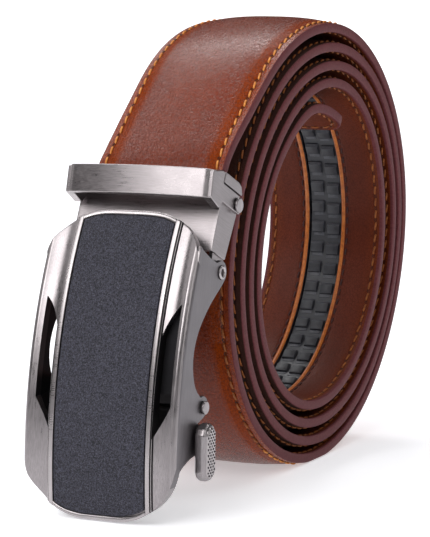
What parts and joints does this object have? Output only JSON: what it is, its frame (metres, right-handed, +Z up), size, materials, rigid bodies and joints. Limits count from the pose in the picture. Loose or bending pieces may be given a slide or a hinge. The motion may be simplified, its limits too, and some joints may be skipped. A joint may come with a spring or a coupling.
{
  "type": "ratchet belt",
  "caption": "Leather ratchet belt rolled on edge into a coil, with a toothed track, hinged strap clamp with keeper bar, and arched slide buckle with side release lever.",
  "frame": {"origin": "on the flat patch of leather that the coil rests on, under the coil, in the middle of the strap's width", "axes": "+X along the coil's axis, across the strap, towards the release lever's tab; -Y towards the buckle; +Z up"},
  "size_m": [0.046, 0.1516, 0.1166],
  "materials": {
    "leather": "chestnut full-grain leather, satin, burgundy painted edges, orange edge stitching",
    "track_plastic": "moulded black plastic, semi-matte",
    "brushed_metal": "brushed gunmetal nickel with polished bevels",
    "inlay": "charcoal grained coating with fine sparkle"
  },
  "bodies": {
    "rolled_strap": {"strap": "leather", "track": "track_plastic", "clamp_frame": "brushed_metal", "jaw_pin": "brushed_metal", "hinge_rivet_right": "brushed_metal", "hinge_rivet_left": "brushed_metal"},
    "buckle": {"buckle_housing": "brushed_metal", "inlay_panel": "inlay", "lever_pin": "brushed_metal"},
    "lever": {"release_lever": "brushed_metal"},
    "jaw": {"clamp_jaw": "brushed_metal"}
  },
  "joints": [
    {"name": "buckle_hinge", "type": "hinge", "parent": "rolled_strap", "child": "buckle", "pos_m": [0, -0.0636, 0.0576], "axis": [1, 0, 0], "range_deg": [-3, 25]},
    {"name": "lever_pivot", "type": "hinge", "parent": "buckle", "child": "lever", "pos_m": [0, -0.074, 0.0264], "axis": [-1, 0, 0], "range_deg": [0, 12], "stiffness_Nm_per_rad": 0.02, "springref_deg": -20.05},
    {"name": "jaw_hinge", "type": "hinge", "parent": "rolled_strap", "child": "jaw", "pos_m": [0, -0.0538, 0.0729], "axis": [-1, 0, 0], "range_deg": [0, 25]}
  ]
}
